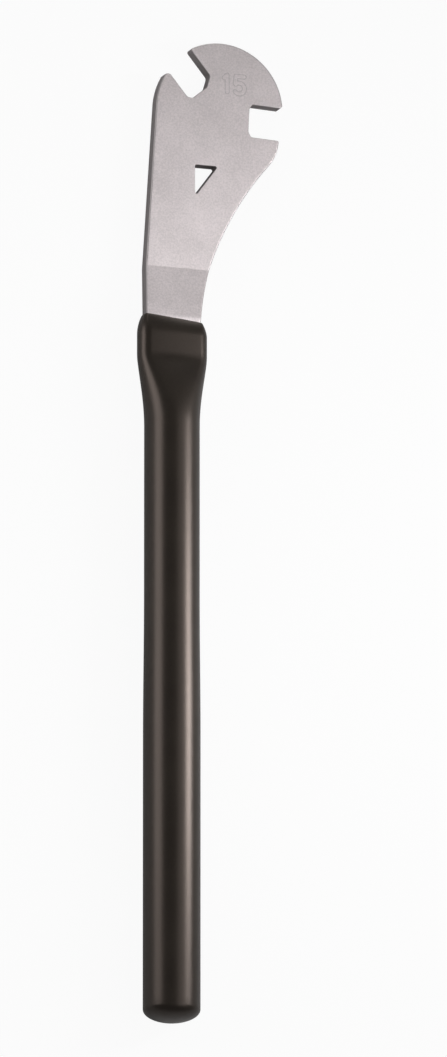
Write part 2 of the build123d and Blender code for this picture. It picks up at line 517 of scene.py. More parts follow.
@dataclass(frozen=True)
class Finish:
    """A finish whose colour, roughness and relief vary with grain and clouds.

    Attributes:
        name: The material's name.
        dark: The colour where the mottle is low.
        light: The colour where the mottle is high.
        metallic: How much of a metal it is.
        roughness: The lowest and highest roughness.
        grain: The scale of the fine grain, per metre.
        cloud: The scale of the slow clouds, per metre.
        cloud_share: The share of the clouds in the mottle.
        relief: The grain's height, in metres.
        wall: The share of the dark colour left on cut walls and in the number's groove, or nothing for a
            piece without
        cut walls. The darkening is painted shade, and on cut walls partly also their own darker finish.
        wall_roughness: How much rougher cut walls are.
        tint: The tint of the gloss.
        mottle: The mottle that shows the dark colour, and the mottle that shows the light one.
    """

    name: str
    dark: Colour
    light: Colour
    metallic: float
    roughness: tuple[float, float]
    grain: float
    cloud: float
    cloud_share: float
    relief: float
    wall: float | None = None
    wall_roughness: float = 0.0
    tint: Colour = (1.0, 1.0, 1.0)
    mottle: tuple[float, float] = (0.3, 0.7)

    def material(self, group: ShaderGroup) -> bpy.types.Material:
        """Builds the material on Object coordinates, where the mottle mixes two colours and two roughnesses.

        Args:
            group: The grain and clouds.

        Returns:
            The material.
        """
        made = bpy.data.materials.new(self.name)
        made.use_nodes = True
        tree = made.node_tree
        join = tree.links.new
        shader = tree.nodes["Principled BSDF"]
        shader.inputs["Metallic"].default_value = self.metallic
        shader.inputs["Specular Tint"].default_value = (*self.tint, 1.0)
        place = add_node(tree, "ShaderNodeTexCoord")
        scales = {"Grain": self.grain, "Cloud": self.cloud, "Share": self.cloud_share}
        grain = add_node(tree, "ShaderNodeGroup", scales, node_tree=group.tree)
        join(place.outputs["Object"], grain.inputs["Vector"])
        mottle_ends = {"From Min": self.mottle[0], "From Max": self.mottle[1]}
        ramp = add_node(tree, "ShaderNodeMapRange", mottle_ends, interpolation_type="SMOOTHSTEP")
        join(grain.outputs["Mottle"], ramp.inputs["Value"])
        colours = {"A": (*self.dark, 1.0), "B": (*self.light, 1.0)}
        colour = add_node(tree, "ShaderNodeMix", colours, data_type="RGBA")
        join(ramp.outputs["Result"], colour.inputs["Factor"])
        roughness_ends = {"To Min": self.roughness[0], "To Max": self.roughness[1]}
        dulling = add_node(tree, "ShaderNodeMapRange", roughness_ends)
        join(grain.outputs["Mottle"], dulling.inputs["Value"])
        painted, dulled = colour.outputs["Result"], dulling.outputs["Result"]
        if self.wall is not None:
            painted, dulled = self.over_walls_and_shade(tree, painted, dulled)
        join(painted, shader.inputs["Base Color"])
        join(dulled, shader.inputs["Roughness"])
        bump = add_node(tree, "ShaderNodeBump", {"Strength": 1.0, "Distance": self.relief})
        join(grain.outputs["Height"], bump.inputs["Height"])
        join(bump.outputs["Normal"], shader.inputs["Normal"])
        return made

    def over_walls_and_shade(
        self, tree: bpy.types.NodeTree, painted: bpy.types.NodeSocket, dulled: bpy.types.NodeSocket
    ) -> tuple[bpy.types.NodeSocket, bpy.types.NodeSocket]:
        """Darkens and dulls the finish where the piece's own attribute marks a cut wall or the number's
        groove.

        The colour goes to the wall's, and the roughness grows by the wall's, each by the attribute's share.

        Args:
            tree: The material's tree.
            painted: The colour over the faces.
            dulled: The roughness over the faces.

        Returns:
            The colour and the roughness over the whole piece.
        """
        join = tree.links.new
        wall = add_node(tree, "ShaderNodeAttribute", attribute_name=WALL_AND_SHADE).outputs["Fac"]
        # The darker colour: painted shade, and on cut walls partly also the cut edge's own darker finish
        cut = (*(self.wall * value for value in self.dark), 1.0)
        colour = add_node(tree, "ShaderNodeMix", {"B": cut}, data_type="RGBA")
        join(wall, colour.inputs["Factor"])
        join(painted, colour.inputs["A"])
        added = {1: self.wall_roughness}
        rough = add_node(tree, "ShaderNodeMath", added, operation="MULTIPLY_ADD", use_clamp=True)
        join(wall, rough.inputs[0])
        join(dulled, rough.inputs[2])
        return colour.outputs["Result"], rough.outputs["Value"]


# The finishes of the three nodes
SATIN_PLATE = Finish(
    name="satin_plated_steel",
    dark=(0.68, 0.628, 0.632),
    light=(0.845, 0.779, 0.787),
    metallic=1.0,
    roughness=(0.49, 0.59),
    grain=1200.0,
    cloud=70.0,
    cloud_share=0.3,
    relief=0.00004,
    # Cut walls and the number's groove take this share of the dark colour: painted shade, and on cut walls
    # partly their own darker finish
    wall=0.44,
    wall_roughness=0.05,
)
DIPPED_VINYL = Finish(
    name="dipped_black_vinyl",
    dark=(0.012, 0.0098, 0.0078),
    light=(0.017, 0.0142, 0.011),
    metallic=0.0,
    roughness=(0.30, 0.38),
    grain=900.0,
    cloud=45.0,
    cloud_share=0.6,
    relief=0.00002,
    tint=(1.0, 0.82, 0.73),
)
DRAWN_TUBE = Finish(
    name="drawn_tube_steel",
    dark=(0.38, 0.38, 0.38),
    light=(0.5, 0.5, 0.5),
    metallic=1.0,
    roughness=(0.35, 0.5),
    grain=1500.0,
    cloud=90.0,
    cloud_share=0.5,
    relief=0.00002,
)


@dataclass
class Wrench:
    """What the pieces share.

    Attributes:
        laid: How the wrench lies.
        grain: The group that every finish is made with.
    """

    laid: LaidFrame
    grain: ShaderGroup = field(default_factory=grain_group)

    def dress(self, piece: bpy.types.Object, slot: Slot, finish: Finish) -> None:
        """Gives a new piece its finish, and lets it ride on the body in place of its CAD node.

        Args:
            piece: The new piece.
            slot: The node that it stands for and the slot of its finish.
            finish: The finish.
        """
        piece.data.materials.append(finish.material(self.grain))
        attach(piece, "root")
        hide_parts(slot.value)


# The head


@dataclass(frozen=True)
class OpenJaw:
    """A spanner jaw: two flanks, and a throat whose corners are bevelled and then rounded.

    Attributes:
        throat: The middle of the throat's floor.
        heading: The way out of the mouth, in degrees from X.
        near: The bevel's depth and width on the left of the heading.
        far: The bevel's depth and width on its right.
        rounding: The radius in the throat's corners.
        width: The distance between the flanks.
    """

    throat: tuple[float, float]
    heading: float
    near: tuple[float, float]
    far: tuple[float, float]
    rounding: float
    width: float = 15.0

    def way(self) -> Array:
        """The direction out of the mouth, which is the cosine and sine of the heading."""
        turn = math.radians(self.heading)
        return np.array([math.cos(turn), math.sin(turn)])

    def at(self, out: float, across: float) -> Array:
        """The point this far out of the throat and this far to the left of the heading."""
        return np.array(self.throat) + self.way() * out + left_of(self.way()) * across

    def meets(self, centre: Array, radius: float, across: float) -> Array:
        """Where a line out of the jaw crosses a circle, from the circle's equation along that line.

        Args:
            centre: The circle's centre.
            radius: Its radius.
            across: How far to the left of the heading the line is.

        Returns:
            The crossing that lies further out.
        """
        start = self.at(0.0, across)
        along = float((start - centre) @ self.way())
        beyond = float((start - centre) @ (start - centre)) - radius**2
        return start + self.way() * (math.sqrt(along**2 - beyond) - along)

    def corners(self) -> list[Array]:
        """The throat's bevels end out along the flanks by their depth and in along the floor by their width.

        Returns:
            Its four corners, from the right of the heading to its left.
        """
        half = self.width / 2.0
        right = [self.at(self.far[0], -half), self.at(0.0, self.far[1] - half)]
        return [*right, self.at(0.0, half - self.near[1]), self.at(self.near[0], half)]


@dataclass
class HeadPlate:
    """The cranked steel head, with both jaws, the hanging hole, broken edges and a stamped size number.

    Its face is a height over the outline: the crank's two bends, less the number's depth. Its wall is a
    profile carried round the outline: a quarter round, a straight wall and another quarter round.
    """

    thickness: float = 6.0

    # The outline
    crown_centre: tuple[float, float] = (24.1, 99.65)
    crown_radius: float = 29.2
    cheek_start: float = 98.6
    cheek_radius: float = 31.5
    left_foot: float = 13.37
    left_lean: float = 3.68
    right_foot: float = 12.2
    waist: tuple[float, float] = (24.2, 38.9)
    nose_start: tuple[float, float] = (46.6, 74.3)
    nose_reach: float = 13.4
    tooth_rounding: float = 2.1
    crown_tip_rounding: float = 1.1
    crown_tip_bevel: float = 1.2
    nose_tip_rounding: float = 1.0
    side_jaw: OpenJaw = OpenJaw((37.2, 94.45), -2.5, (1.3, 2.2), (1.3, 2.2), 0.9)
    top_jaw: OpenJaw = OpenJaw((15.0, 106.15), 129.2, (1.9, 1.7), (3.2, 4.6), 1.8)

    # The tang, hidden in the tube
    mouth: float = -5.0
    land_end: float = -18.0
    tang_half: float = 11.0
    tang_tip_half: float = 7.0
    tang_length: float = 38.0

    # The hanging hole and the crank
    hole_corner: tuple[float, float] = (11.65, 71.9)
    hole_size: tuple[float, float] = (10.75, 14.6)
    hole_rounding: float = 0.7
    crank_height: float = 5.0
    crank_length: float = 23.4
    bend_radius: float = 5.0

    # The broken edges, finer in the jaws: a jaw's band starts behind its throat, and the rounding eases
    # beside it
    edge_rounding: float = 0.7
    jaw_edge_rounding: float = 0.3
    jaw_behind: float = 1.0
    rounding_ease: float = 2.0
    edge_rows: int = 6
    sharp_degrees: float = 34.0

    # The size number: a flagged one, and a five whose bowl is an arc between two angles in degrees
    number_centre: tuple[float, float] = (30.6, 110.4)
    number_depth: float = 0.07
    stroke_width: float = 1.9
    groove_width: float = 0.55
    # The wall attribute's share in the number's groove, which darkens it: painted shade in the stamped recess
    painted_groove_shade: float = 0.5
    one: tuple[tuple[float, float], ...] = ((-5.2, 2.7), (-3.8, 4.1), (-3.8, -3.6))
    five: tuple[tuple[float, float], ...] = ((4.3, 3.9), (0.4, 3.9), (0.0, 0.5))
    bowl_centre: tuple[float, float] = (1.9, -1.6)
    bowl_radius: float = 2.5
    bowl_angles: tuple[float, float] = (132.0, -140.0)
    bowl_step: float = 0.4

    # The steps of the edges and of the nets of points over the face, and how far the nets keep apart
    edge_step: float = 1.5
    edge_ring: float = 0.2
    edge_gap: float = 0.35
    face_step: float = 2.0
    bend_step: float = 0.25
    bend_spacing: float = 1.4
    bend_across: tuple[float, float] = (-18.0, 26.0)
    bend_reach: tuple[float, float] = (-1.2, 1.8)
    bend_edge_reach: tuple[float, float] = (-2.0, 2.5)
    bend_gap: float = 0.6
    number_step: float = 0.13
    number_shift: tuple[float, float] = (-0.4, 0.0)
    number_half: tuple[float, float] = (7.0, 5.8)
    number_clear: tuple[float, float] = (7.6, 6.6)

    def outline(self) -> Array:
        """The outer edge, with its material on the left.

        Lines and arcs run from the right shoulder over the waist, the nose, the jaws and the crown to the
        left cheek and round the tang, and then the corners are rounded.

        Returns:
            The edge's points in order.
        """
        jaw, top = self.side_jaw, self.top_jaw
        half, out, flank = jaw.width / 2.0, jaw.way(), jaw.at(0.0, -jaw.width / 2.0)
        crown = np.array(self.crown_centre)
        lean = math.radians(self.left_lean)
        cheek_x = (self.cheek_start - self.mouth) * math.tan(lean) - self.left_foot
        cheek = np.array([cheek_x, self.cheek_start])
        cheek_centre = cheek + np.array([math.cos(lean), -math.sin(lean)]) * self.cheek_radius
        shoulder = np.array([self.right_foot, self.mouth])
        waist_run = arc_through(shoulder, np.array(self.waist), np.array(self.nose_start))
        nose_run = tangent_arc(waist_run[-1], waist_run[-1] - waist_run[-2], jaw.at(self.nose_reach, 0.0))
        nose_run = nose_run[(nose_run - flank) @ left_of(out) < 0.0]
        nose_tip = flank + out * float((nose_run[-1] - flank) @ out)
        right_tip = jaw.meets(crown, self.crown_radius, half)
        left_tip = top.meets(crown, self.crown_radius, -top.width / 2.0)
        tooth_tip = top.meets(cheek_centre, self.cheek_radius, top.width / 2.0)
        crown_run = arc_from_centre(crown, right_tip, left_tip)
        crown_run = crown_run[np.linalg.norm(crown_run - right_tip, axis=1) > self.crown_tip_bevel]
        left_tang = [
            [-self.tang_half, self.mouth],
            [-self.tang_half, self.land_end],
            [-self.tang_tip_half, self.mouth - self.tang_length],
        ]
        loop = np.concatenate(
            [
                waist_run,
                nose_run[1:],
                [nose_tip, *jaw.corners(), right_tip - out * self.crown_tip_bevel],
                crown_run,
                top.corners(),
                arc_from_centre(cheek_centre, tooth_tip, cheek),
                [[-self.left_foot, self.mouth], *left_tang, *([-x, y] for x, y in reversed(left_tang))],
            ]
        )
        rounded = [
            *((corner, each.rounding) for each in (jaw, top) for corner in each.corners()),
            (nose_tip, self.nose_tip_rounding),
            (left_tip, self.crown_tip_rounding),
            (tooth_tip, self.tooth_rounding),
        ]
        for corner, radius in rounded:
            loop = round_corner(loop, corner, radius)
        return self.split(loop)

    def hole(self) -> Array:
        """The hanging hole's edge, a triangle with rounded corners that runs with its material on the left.

        Returns:
            The edge's points in order.
        """
        x, y = self.hole_corner
        corners = np.array([[x, y], [x + self.hole_size[0], y], [x, y - self.hole_size[1]]])
        loop = corners
        for corner in corners:
            loop = round_corner(loop, corner, self.hole_rounding)
        return self.split(loop)

    def split(self, loop: Array) -> Array:
        """Splits a loop's long sides, finest across the two bends.

        Args:
            loop: The loop's points in order.

        Returns:
            The loop with the new points on its sides.
        """
        loop = refine(loop, self.edge_step)
        for bend in (0.0, self.crank_length):
            loop = refine(loop, self.bend_step, tuple(bend + reach for reach in self.bend_edge_reach))
        return loop

    def bent(self, y: Array, side: float) -> Array:
        """The height of a surface that lies to one side of the cranked middle line.

        The middle line is level, then falls by the crank's height over its length, then is level again. Each
        of its corners is an arc, and a surface beside it keeps the same centre with its radius less or more.

        Args:
            y: Where along the handle.
            side: The distance from the middle line, positive on the upper side.

        Returns:
            The height over the handle's axis.
        """
        slope = math.atan2(self.crank_height, self.crank_length)
        tangent = self.bend_radius * math.tan(slope / 2.0)
        first_centre = (-tangent, -self.bend_radius)
        last_centre = (self.crank_length + tangent, -self.crank_height + self.bend_radius)
        first_radius = self.bend_radius + side
        last_radius = self.bend_radius - side
        first_end = first_centre[0] + first_radius * math.sin(slope)
        last_start = last_centre[0] - last_radius * math.sin(slope)
        falling = side / math.cos(slope) - y * math.tan(slope)
        first_arc = first_centre[1] + np.sqrt(np.maximum(first_radius**2 - (y - first_centre[0]) ** 2, 0.0))
        last_arc = last_centre[1] - np.sqrt(np.maximum(last_radius**2 - (y - last_centre[0]) ** 2, 0.0))
        return np.select(
            [y < first_centre[0], y < first_end, y < last_start, y < last_centre[0]],
            [np.full_like(y, side), first_arc, falling, last_arc],
            side - self.crank_height,
        )

    def number_strokes(self) -> Array:
        """The strokes of the size number 15, as short straight runs.

        Returns:
            One line of start X, start Y, end X and end Y for each stroke.
        """
        start, end = (math.radians(angle) for angle in self.bowl_angles)
        bowl = arc(self.bowl_centre, self.bowl_radius, start, end, self.bowl_step)
        figures = (np.array(self.one), np.concatenate([self.five, bowl]))
        runs = (figure + self.number_centre for figure in figures)
        return np.concatenate([np.concatenate([run[:-1], run[1:]], axis=1) for run in runs])

    def stamped(self, points: Array) -> Array:
        """How far the stamp presses each point: 1 in the groove round each stroke, easing to 0 beside it."""
        away = distance_to_strokes(points, self.number_strokes())
        return smooth_step(1.0 - np.abs(away - self.stroke_width / 2.0) / (self.groove_width / 2.0))

    def face_points(self, loops: list[Array]) -> Array:
        """Points over the face: an even net, finer across the bends and finest in the number.

        Args:
            loops: The face's outer and inner edges.

        Returns:
            The points that lie well inside the face.
        """
        low, high = loops[0].min(axis=0), loops[0].max(axis=0)
        middle = np.array(self.number_centre) + self.number_shift
        corners = zip(middle - self.number_half, middle + self.number_half)
        before, after = self.bend_reach
        bends = [np.arange(bend + before, bend + after, self.bend_step) for bend in (0.0, self.crank_length)]
        bends = np.concatenate(bends)
        nets = (
            [np.arange(start, end, self.face_step) for start, end in zip(low, high)],
            [np.arange(*self.bend_across, self.bend_spacing), bends],
            [np.arange(start, end, self.number_step) for start, end in corners],
        )
        coarse, across, number = (np.stack(np.meshgrid(*net), axis=-1).reshape(-1, 2) for net in nets)
        near_number = (np.abs(coarse - middle) < self.number_clear).all(axis=1)
        near_bend = np.min(np.abs(coarse[:, 1, None] - bends), axis=1) < self.bend_gap
        points = np.concatenate([coarse[~near_number & ~near_bend], across, number])
        points = points[inside(points, loops[0]) & ~inside(points, loops[1])]
        sides = np.concatenate([np.concatenate([loop, np.roll(loop, -1, axis=0)], axis=1) for loop in loops])
        return points[distance_to_strokes(points, sides) > self.edge_gap]

    def rounding_at(self, loop: Array) -> Array:
        """The edge rounding at each point of a loop: small in the jaws, larger round the outside.

        A jaw is a band about its middle line, and the rounding eases outside that band.

        Args:
            loop: The loop's points in order.

        Returns:
            The radius of the quarter round at each point.
        """
        nearest = np.full(len(loop), np.inf)
        for jaw in (self.side_jaw, self.top_jaw):
            offset = loop - np.array(jaw.throat)
            across = np.abs(offset @ left_of(jaw.way())) - jaw.width / 2.0
            nearest = np.minimum(nearest, np.where(offset @ jaw.way() > -self.jaw_behind, across, np.inf))
        share = smooth_step(nearest / self.rounding_ease)
        return self.jaw_edge_rounding + (self.edge_rounding - self.jaw_edge_rounding) * share

    def wall_profile(self) -> tuple[Array, Array, Array]:
        """Down the wall: a quarter round off the upper face, a straight wall, a quarter round to the lower.

        On a quarter round, a row lies in by 1 less the cosine and away from its face by 1 less the sine.

        Returns:
            For each row, how far in it lies and how far from its own face, both as shares of the rounding,
            and whether it belongs to the lower face.
        """
        turn = np.linspace(math.pi / 2.0, 0.0, self.edge_rows)
        inwards, away = 1.0 - np.cos(turn), 1.0 - np.sin(turn)
        lower = np.repeat([False, True], len(turn))
        return np.concatenate([inwards, inwards[::-1]]), np.concatenate([away, away[::-1]]), lower

    def wall_points(self, loop: Array, rounding: Array) -> Array:
        """The wall round a loop, row by row down its profile.

        Each row is the loop moved in by its share of the rounding. Its height goes from its own face towards
        the other by its distance from that face over the plate's thickness.

        Args:
            loop: The loop's points in order.
            rounding: The radius of the quarter round at each point.

        Returns:
            One line of X, Y and Z for each point.
        """
        inwards, away, lower = self.wall_profile()
        rows = np.stack([inset(loop, (rounding * share)[:, None]) for share in inwards])
        above = self.bent(rows[:, :, 1], self.thickness / 2.0)
        below = self.bent(rows[:, :, 1], -self.thickness / 2.0)
        down = away[:, None] * rounding / self.thickness
        height = np.where(lower[:, None], below + (above - below) * down, above + (below - above) * down)
        return np.concatenate([rows, height[:, :, None]], axis=2).reshape(-1, 3)

    def build(self, wrench: Wrench) -> bpy.types.Object:
        """Builds the head from its walls, its two faces and the number.

        Each face's triangles take their edge points from the walls' first or last rows.

        Args:
            wrench: What the pieces share.

        Returns:
            The piece.
        """
        loops = [self.outline(), self.hole()]
        roundings = [self.rounding_at(loops[0]), np.full(len(loops[1]), self.jaw_edge_rounding)]
        edges = [inset(loop, rounding[:, None]) for loop, rounding in zip(loops, roundings)]
        rings = [inset(loop, rounding[:, None] + self.edge_ring) for loop, rounding in zip(loops, roundings)]
        inner = np.concatenate([*rings, self.face_points(rings)])
        triangles = self.triangles(np.concatenate([*edges, inner]), edges)
        inwards = self.wall_profile()[0]
        points, walls, quads, edge_rows, count = [], [], [], [], 0
        for loop, rounding in zip(loops, roundings):
            points.append(self.wall_points(loop, rounding))
            # The wall attribute runs to 1 on the straight wall, where the finish is darker: partly the cut
            # edge's own finish, partly painted shade
            walls.append(np.repeat(1.0 - inwards, len(loop)))
            quads.append(grid_quads(len(inwards), len(loop), count))
            edge_rows.append(count + np.arange(len(points[-1])).reshape(len(inwards), -1)[[0, -1]])
            count += len(points[-1])
        corners = []
        for edge_row, side in ((0, 1.0), (1, -1.0)):
            pressed = self.stamped(inner) if side > 0.0 else np.zeros(len(inner))
            height = self.bent(inner[:, 1], side * self.thickness / 2.0) - self.number_depth * pressed
            points.append(np.concatenate([inner, height[:, None]], axis=1))
            # Painted shade in the number's groove, carried on the wall attribute
            walls.append(self.painted_groove_shade * pressed)
            index = np.concatenate([*(rows[edge_row] for rows in edge_rows), count + np.arange(len(inner))])
            corners.append(index[triangles])
            count += len(inner)
        faces = [*np.concatenate(quads).tolist(), *np.concatenate(corners).tolist()]
        laid = wrench.laid.lay(np.concatenate(points))
        piece = make_mesh("head", laid, faces, self.sharp_degrees, np.concatenate(walls))
        wrench.dress(piece, Slot.HEAD, SATIN_PLATE)
        return piece

    @staticmethod
    def triangles(flat: Array, edges: list[Array]) -> Array:
        """Joins the face's points into triangles that keep its edges and leave its hole open.

        A triangle stays where its middle is in the face and its area, half the cross product of two of its
        sides, is more than a sliver's.

        Args:
            flat: The face's points, those of its edges first.
            edges: The outer and inner edge.

        Returns:
            One line of three point indices for each triangle.
        """
        sides, first = [], 0
        for loop in edges:
            index = np.arange(len(loop))
            sides.append(np.stack([index, (index + 1) % len(loop)], axis=-1) + first)
            first += len(loop)
        made = delaunay_2d_cdt(flat.tolist(), np.concatenate(sides).tolist(), [], 0, SLIVER)
        _, _, corners, sources, _, _ = made
        triangles = np.array(sources)[:, 0][np.array(corners)]
        corner, side, other = (flat[triangles[:, place]] for place in range(3))
        side, other = side - corner, other - corner
        area = np.abs(side[:, 0] * other[:, 1] - side[:, 1] * other[:, 0]) / 2.0
        middle = flat[triangles].mean(axis=1)
        return triangles[inside(middle, edges[0]) & ~inside(middle, edges[1]) & (area > SLIVER)]


# The grip


@dataclass
class GripSkin:
    """The dipped coat: a thin rolled lip on the plate, a flat over the pressed tube, a neck and a round grip.

    Each row of points is a closed curve of eight tangent arcs: two sides, two faces and four corners. A point
    is its arc's centre plus the arc's radius along the curve's own normal. A curve is given as one line of
    its half width, half thickness, corner radius, side angle and face angle, the angles in degrees.
    """

    # The tube: its round part, its pressed flat, and how the one becomes the other along the neck
    tube_radius: float = 11.1
    tube_wall: float = 1.5
    flat_corner: float = 3.2
    flat_half: float = 3.97
    flat_angles: tuple[float, float] = (14.0, 85.5)
    round_angles: tuple[float, float] = (22.5, 67.5)
    neck_haste: float = 0.62
    flat_end: float = -18.8
    flat_easing: float = 1.8
    easing_places: int = 9
    round_start: float = -50.0

    # The coat, its swell and its domed butt
    coat: float = 1.25
    swell: float = 0.4
    swell_run: tuple[float, float] = (-128.0, -191.0)
    butt_start: float = -314.3
    dome: float = 5.8
    inner_gap: float = 0.05

    # The lip
    lip_edge: float = -0.6
    lip_run: float = 8.0
    lip_coat: float = 0.6
    lip_half: tuple[float, float] = (13.535, 3.6)
    lip_corner: float = 1.2
    lip_angles: tuple[float, float] = (8.0, 88.0)
    lip_slant: float = 5.4
    lip_inner: float = 0.1

    # How many points each arc has, how many rows each stretch has, and how the neck's rows crowd to its
    # start
    per_arc: int = 16
    roll_rows: int = 6
    press_rows: tuple[int, int] = (19, 11)
    neck_rows: int = 55
    neck_crowding: float = 1.4
    round_rows: tuple[int, int, int] = (29, 29, 39)
    dome_rows: int = 25
    inner_press_rows: tuple[int, int] = (9, 19)
    inner_dome_rows: int = 9
    sharp_degrees: float = 60.0

    def tube_curve(self, y: Array) -> Array:
        """The tube's middle wall at each place, kept as long around as the round tube.

        Every size runs from the flat's to the round's by an eased share of the way, averaged over a short
        stretch. The half width then grows until a quarter of the curve is as long as a quarter circle.

        Args:
            y: Where along the handle.

        Returns:
            One curve for each place.
        """
        middle = self.tube_radius - self.tube_wall / 2.0
        near = y[:, None] + np.linspace(-self.flat_easing, self.flat_easing, self.easing_places)
        along = np.clip((self.flat_end - near) / (self.flat_end - self.round_start), 0.0, 1.0)
        share = smooth_step(along**self.neck_haste).mean(axis=1)[:, None]
        flat = np.array([middle, self.flat_half, self.flat_corner, *self.flat_angles])
        curve = flat + (np.array([middle, middle, middle, *self.round_angles]) - flat) * share
        wider = curve + np.array([1.0, 0.0, 0.0, 0.0, 0.0])
        narrow_length, wide_length = self.quarter_length(curve), self.quarter_length(wider)
        curve[:, 0] += (math.pi / 2.0 * middle - narrow_length) / (wide_length - narrow_length)
        return curve

    @staticmethod
    def arc_radii(curve: Array) -> tuple[Array, Array]:
        """The side's and the face's radius, from the two sums that hold where tangent arcs meet.

        Args:
            curve: The curves.

        Returns:
            The radii of their sides and of their faces.
        """
        width, thick, corner = curve[:, 0], curve[:, 1], curve[:, 2]
        side, face = np.radians(curve[:, 3]), np.radians(curve[:, 4])
        width_sum = width - corner * (np.cos(side) - np.cos(face))
        thick_sum = thick - corner * (np.sin(face) - np.sin(side))
        scale = (1.0 - np.cos(side)) * (1.0 - np.sin(face)) - np.sin(side) * np.cos(face)
        side_radius = (width_sum * (1.0 - np.sin(face)) - thick_sum * np.cos(face)) / scale
        face_radius = (thick_sum * (1.0 - np.cos(side)) - width_sum * np.sin(side)) / scale
        return side_radius, face_radius

    def quarter_length(self, curve: Array) -> Array:
        """The length of a quarter of each curve, the sum of each arc's radius times its angle.

        Args:
            curve: The curves.

        Returns:
            One length for each curve.
        """
        side_radius, face_radius = self.arc_radii(curve)
        side, face = np.radians(curve[:, 3]), np.radians(curve[:, 4])
        return side_radius * side + curve[:, 2] * (face - side) + face_radius * (math.pi / 2.0 - face)

    def ring(self, curve: Array) -> Array:
        """The points of each curve, arc by arc from its right side round over its upper face.

        Args:
            curve: The curves.

        Returns:
            For each curve, its points across the handle, X then Z.
        """
        side_radius, face_radius = self.arc_radii(curve)
        side, face, corner = np.radians(curve[:, 3]), np.radians(curve[:, 4]), curve[:, 2]
        half = math.pi
        side_x, face_z = curve[:, 0] - side_radius, curve[:, 1] - face_radius
        corner_x = side_x + (side_radius - corner) * np.cos(side)
        corner_z = (side_radius - corner) * np.sin(side)
        none = np.zeros_like(side)
        bounds = [-side, side, face, half - face, half - side, half + side, half + face]
        bounds += [2.0 * half - face, 2.0 * half - side]
        radii = [side_radius, corner, face_radius, corner] * 2
        centre_x = [side_x, corner_x, none, -corner_x, -side_x, -corner_x, none, corner_x]
        centre_z = [none, corner_z, face_z, corner_z, none, -corner_z, -face_z, -corner_z]
        columns = (bounds[:-1], bounds[1:], radii, centre_x, centre_z)
        start, end, radius, x, z = (np.stack(column, axis=1)[:, :, None] for column in columns)
        normal = start + (end - start) * np.arange(self.per_arc) / self.per_arc
        ring = np.stack([x + radius * np.cos(normal), z + radius * np.sin(normal)], axis=-1)
        return ring.reshape(len(curve), -1, 2)

    def over_tube(self, y: Array, coat: float) -> Array:
        """The curve at a distance over the tube, blended near the plate with the thin lip's own curve.

        The blend is 1 less the square of what is left of the lip's run.

        Args:
            y: Where along the handle.
            coat: The distance.

        Returns:
            One curve for each place.
        """
        grown = self.tube_curve(y) + np.array([1.0, 1.0, 1.0, 0.0, 0.0]) * (self.tube_wall / 2.0 + coat)
        lip = np.array([*self.lip_half, self.lip_corner, *self.lip_angles])
        lip[:3] += coat - self.coat
        share = np.clip((self.lip_edge - y) / self.lip_run, 0.0, 1.0)
        blend = (1.0 - (1.0 - share) ** 2)[:, None]
        return lip + (grown - lip) * blend

    def turned(self, radius: Array) -> Array:
        """Round curves, whose half width, half thickness and corner radius are all the circle's radius."""
        angles = [np.full(len(radius), angle) for angle in self.round_angles]
        return np.stack([radius, radius, radius, *angles], axis=-1)

    def rows(self) -> tuple[Array, Array]:
        """The outer rows from the lip's inner edge to the butt.

        The lip rolls over by a quarter circle, the round part swells by an eased share, and the dome is a
        quarter of an ellipse.

        Returns:
            The rows' places along the handle, and their curves.
        """
        roll = np.linspace(math.pi / 2.0, 0.0, self.roll_rows + 1)[:-1]
        lip_y = self.lip_edge - self.lip_coat * (1.0 - np.sin(roll))
        lip = self.over_tube(lip_y, self.coat)
        lip[:, :3] -= (self.lip_coat * (1.0 - np.cos(roll)))[:, None]
        neck_share = np.linspace(0.0, 1.0, self.neck_rows + 1)[1:] ** self.neck_crowding
        neck = self.flat_end + (self.round_start - self.flat_end) * neck_share
        stops = (self.lip_edge - self.lip_coat, self.lip_edge - self.lip_run, self.flat_end)
        press_y = np.concatenate([run_on(stops, self.press_rows), neck])
        press = self.over_tube(press_y, self.coat)
        round_y = run_on((self.round_start, *self.swell_run, self.butt_start), self.round_rows)[1:]
        swollen = (self.swell_run[0] - round_y) / (self.swell_run[0] - self.swell_run[1])
        radius = self.tube_radius + self.coat + self.swell * smooth_step(swollen)
        turn = np.linspace(0.0, math.pi / 2.0, self.dome_rows + 1)[1:-1]
        dome_y = self.butt_start - self.dome * np.sin(turn)
        dome_radius = (self.tube_radius + self.coat + self.swell) * np.cos(turn)
        curves = [lip, press, self.turned(np.concatenate([radius, dome_radius]))]
        return np.concatenate([lip_y, press_y, round_y, dome_y]), np.concatenate(curves)

    def inner_rows(self) -> tuple[Array, Array]:
        """The rows of the coat's inner side, from the butt back to the lip, over the tube by a narrow gap.

        Returns:
            The rows' places along the handle, and their curves.
        """
        stops = (self.lip_edge - self.lip_inner, self.flat_end, self.round_start)
        press_y = run_on(stops, self.inner_press_rows)
        press = self.over_tube(press_y, self.inner_gap)
        share = np.clip((self.lip_edge - press_y) / self.lip_run, 0.0, 1.0)
        press[:, :3] += ((self.coat - self.inner_gap - self.lip_coat) * (1.0 - share))[:, None]
        turn = np.linspace(0.0, math.pi / 2.0, self.inner_dome_rows + 1)[:-1]
        turned_y = [*self.swell_run, *(self.butt_start - (self.dome - self.coat) * np.sin(turn))]
        radius = (self.tube_radius + self.inner_gap) * np.concatenate([[1.0, 1.0], np.cos(turn)])
        return np.concatenate([press_y, turned_y])[::-1], np.concatenate([press, self.turned(radius)])[::-1]

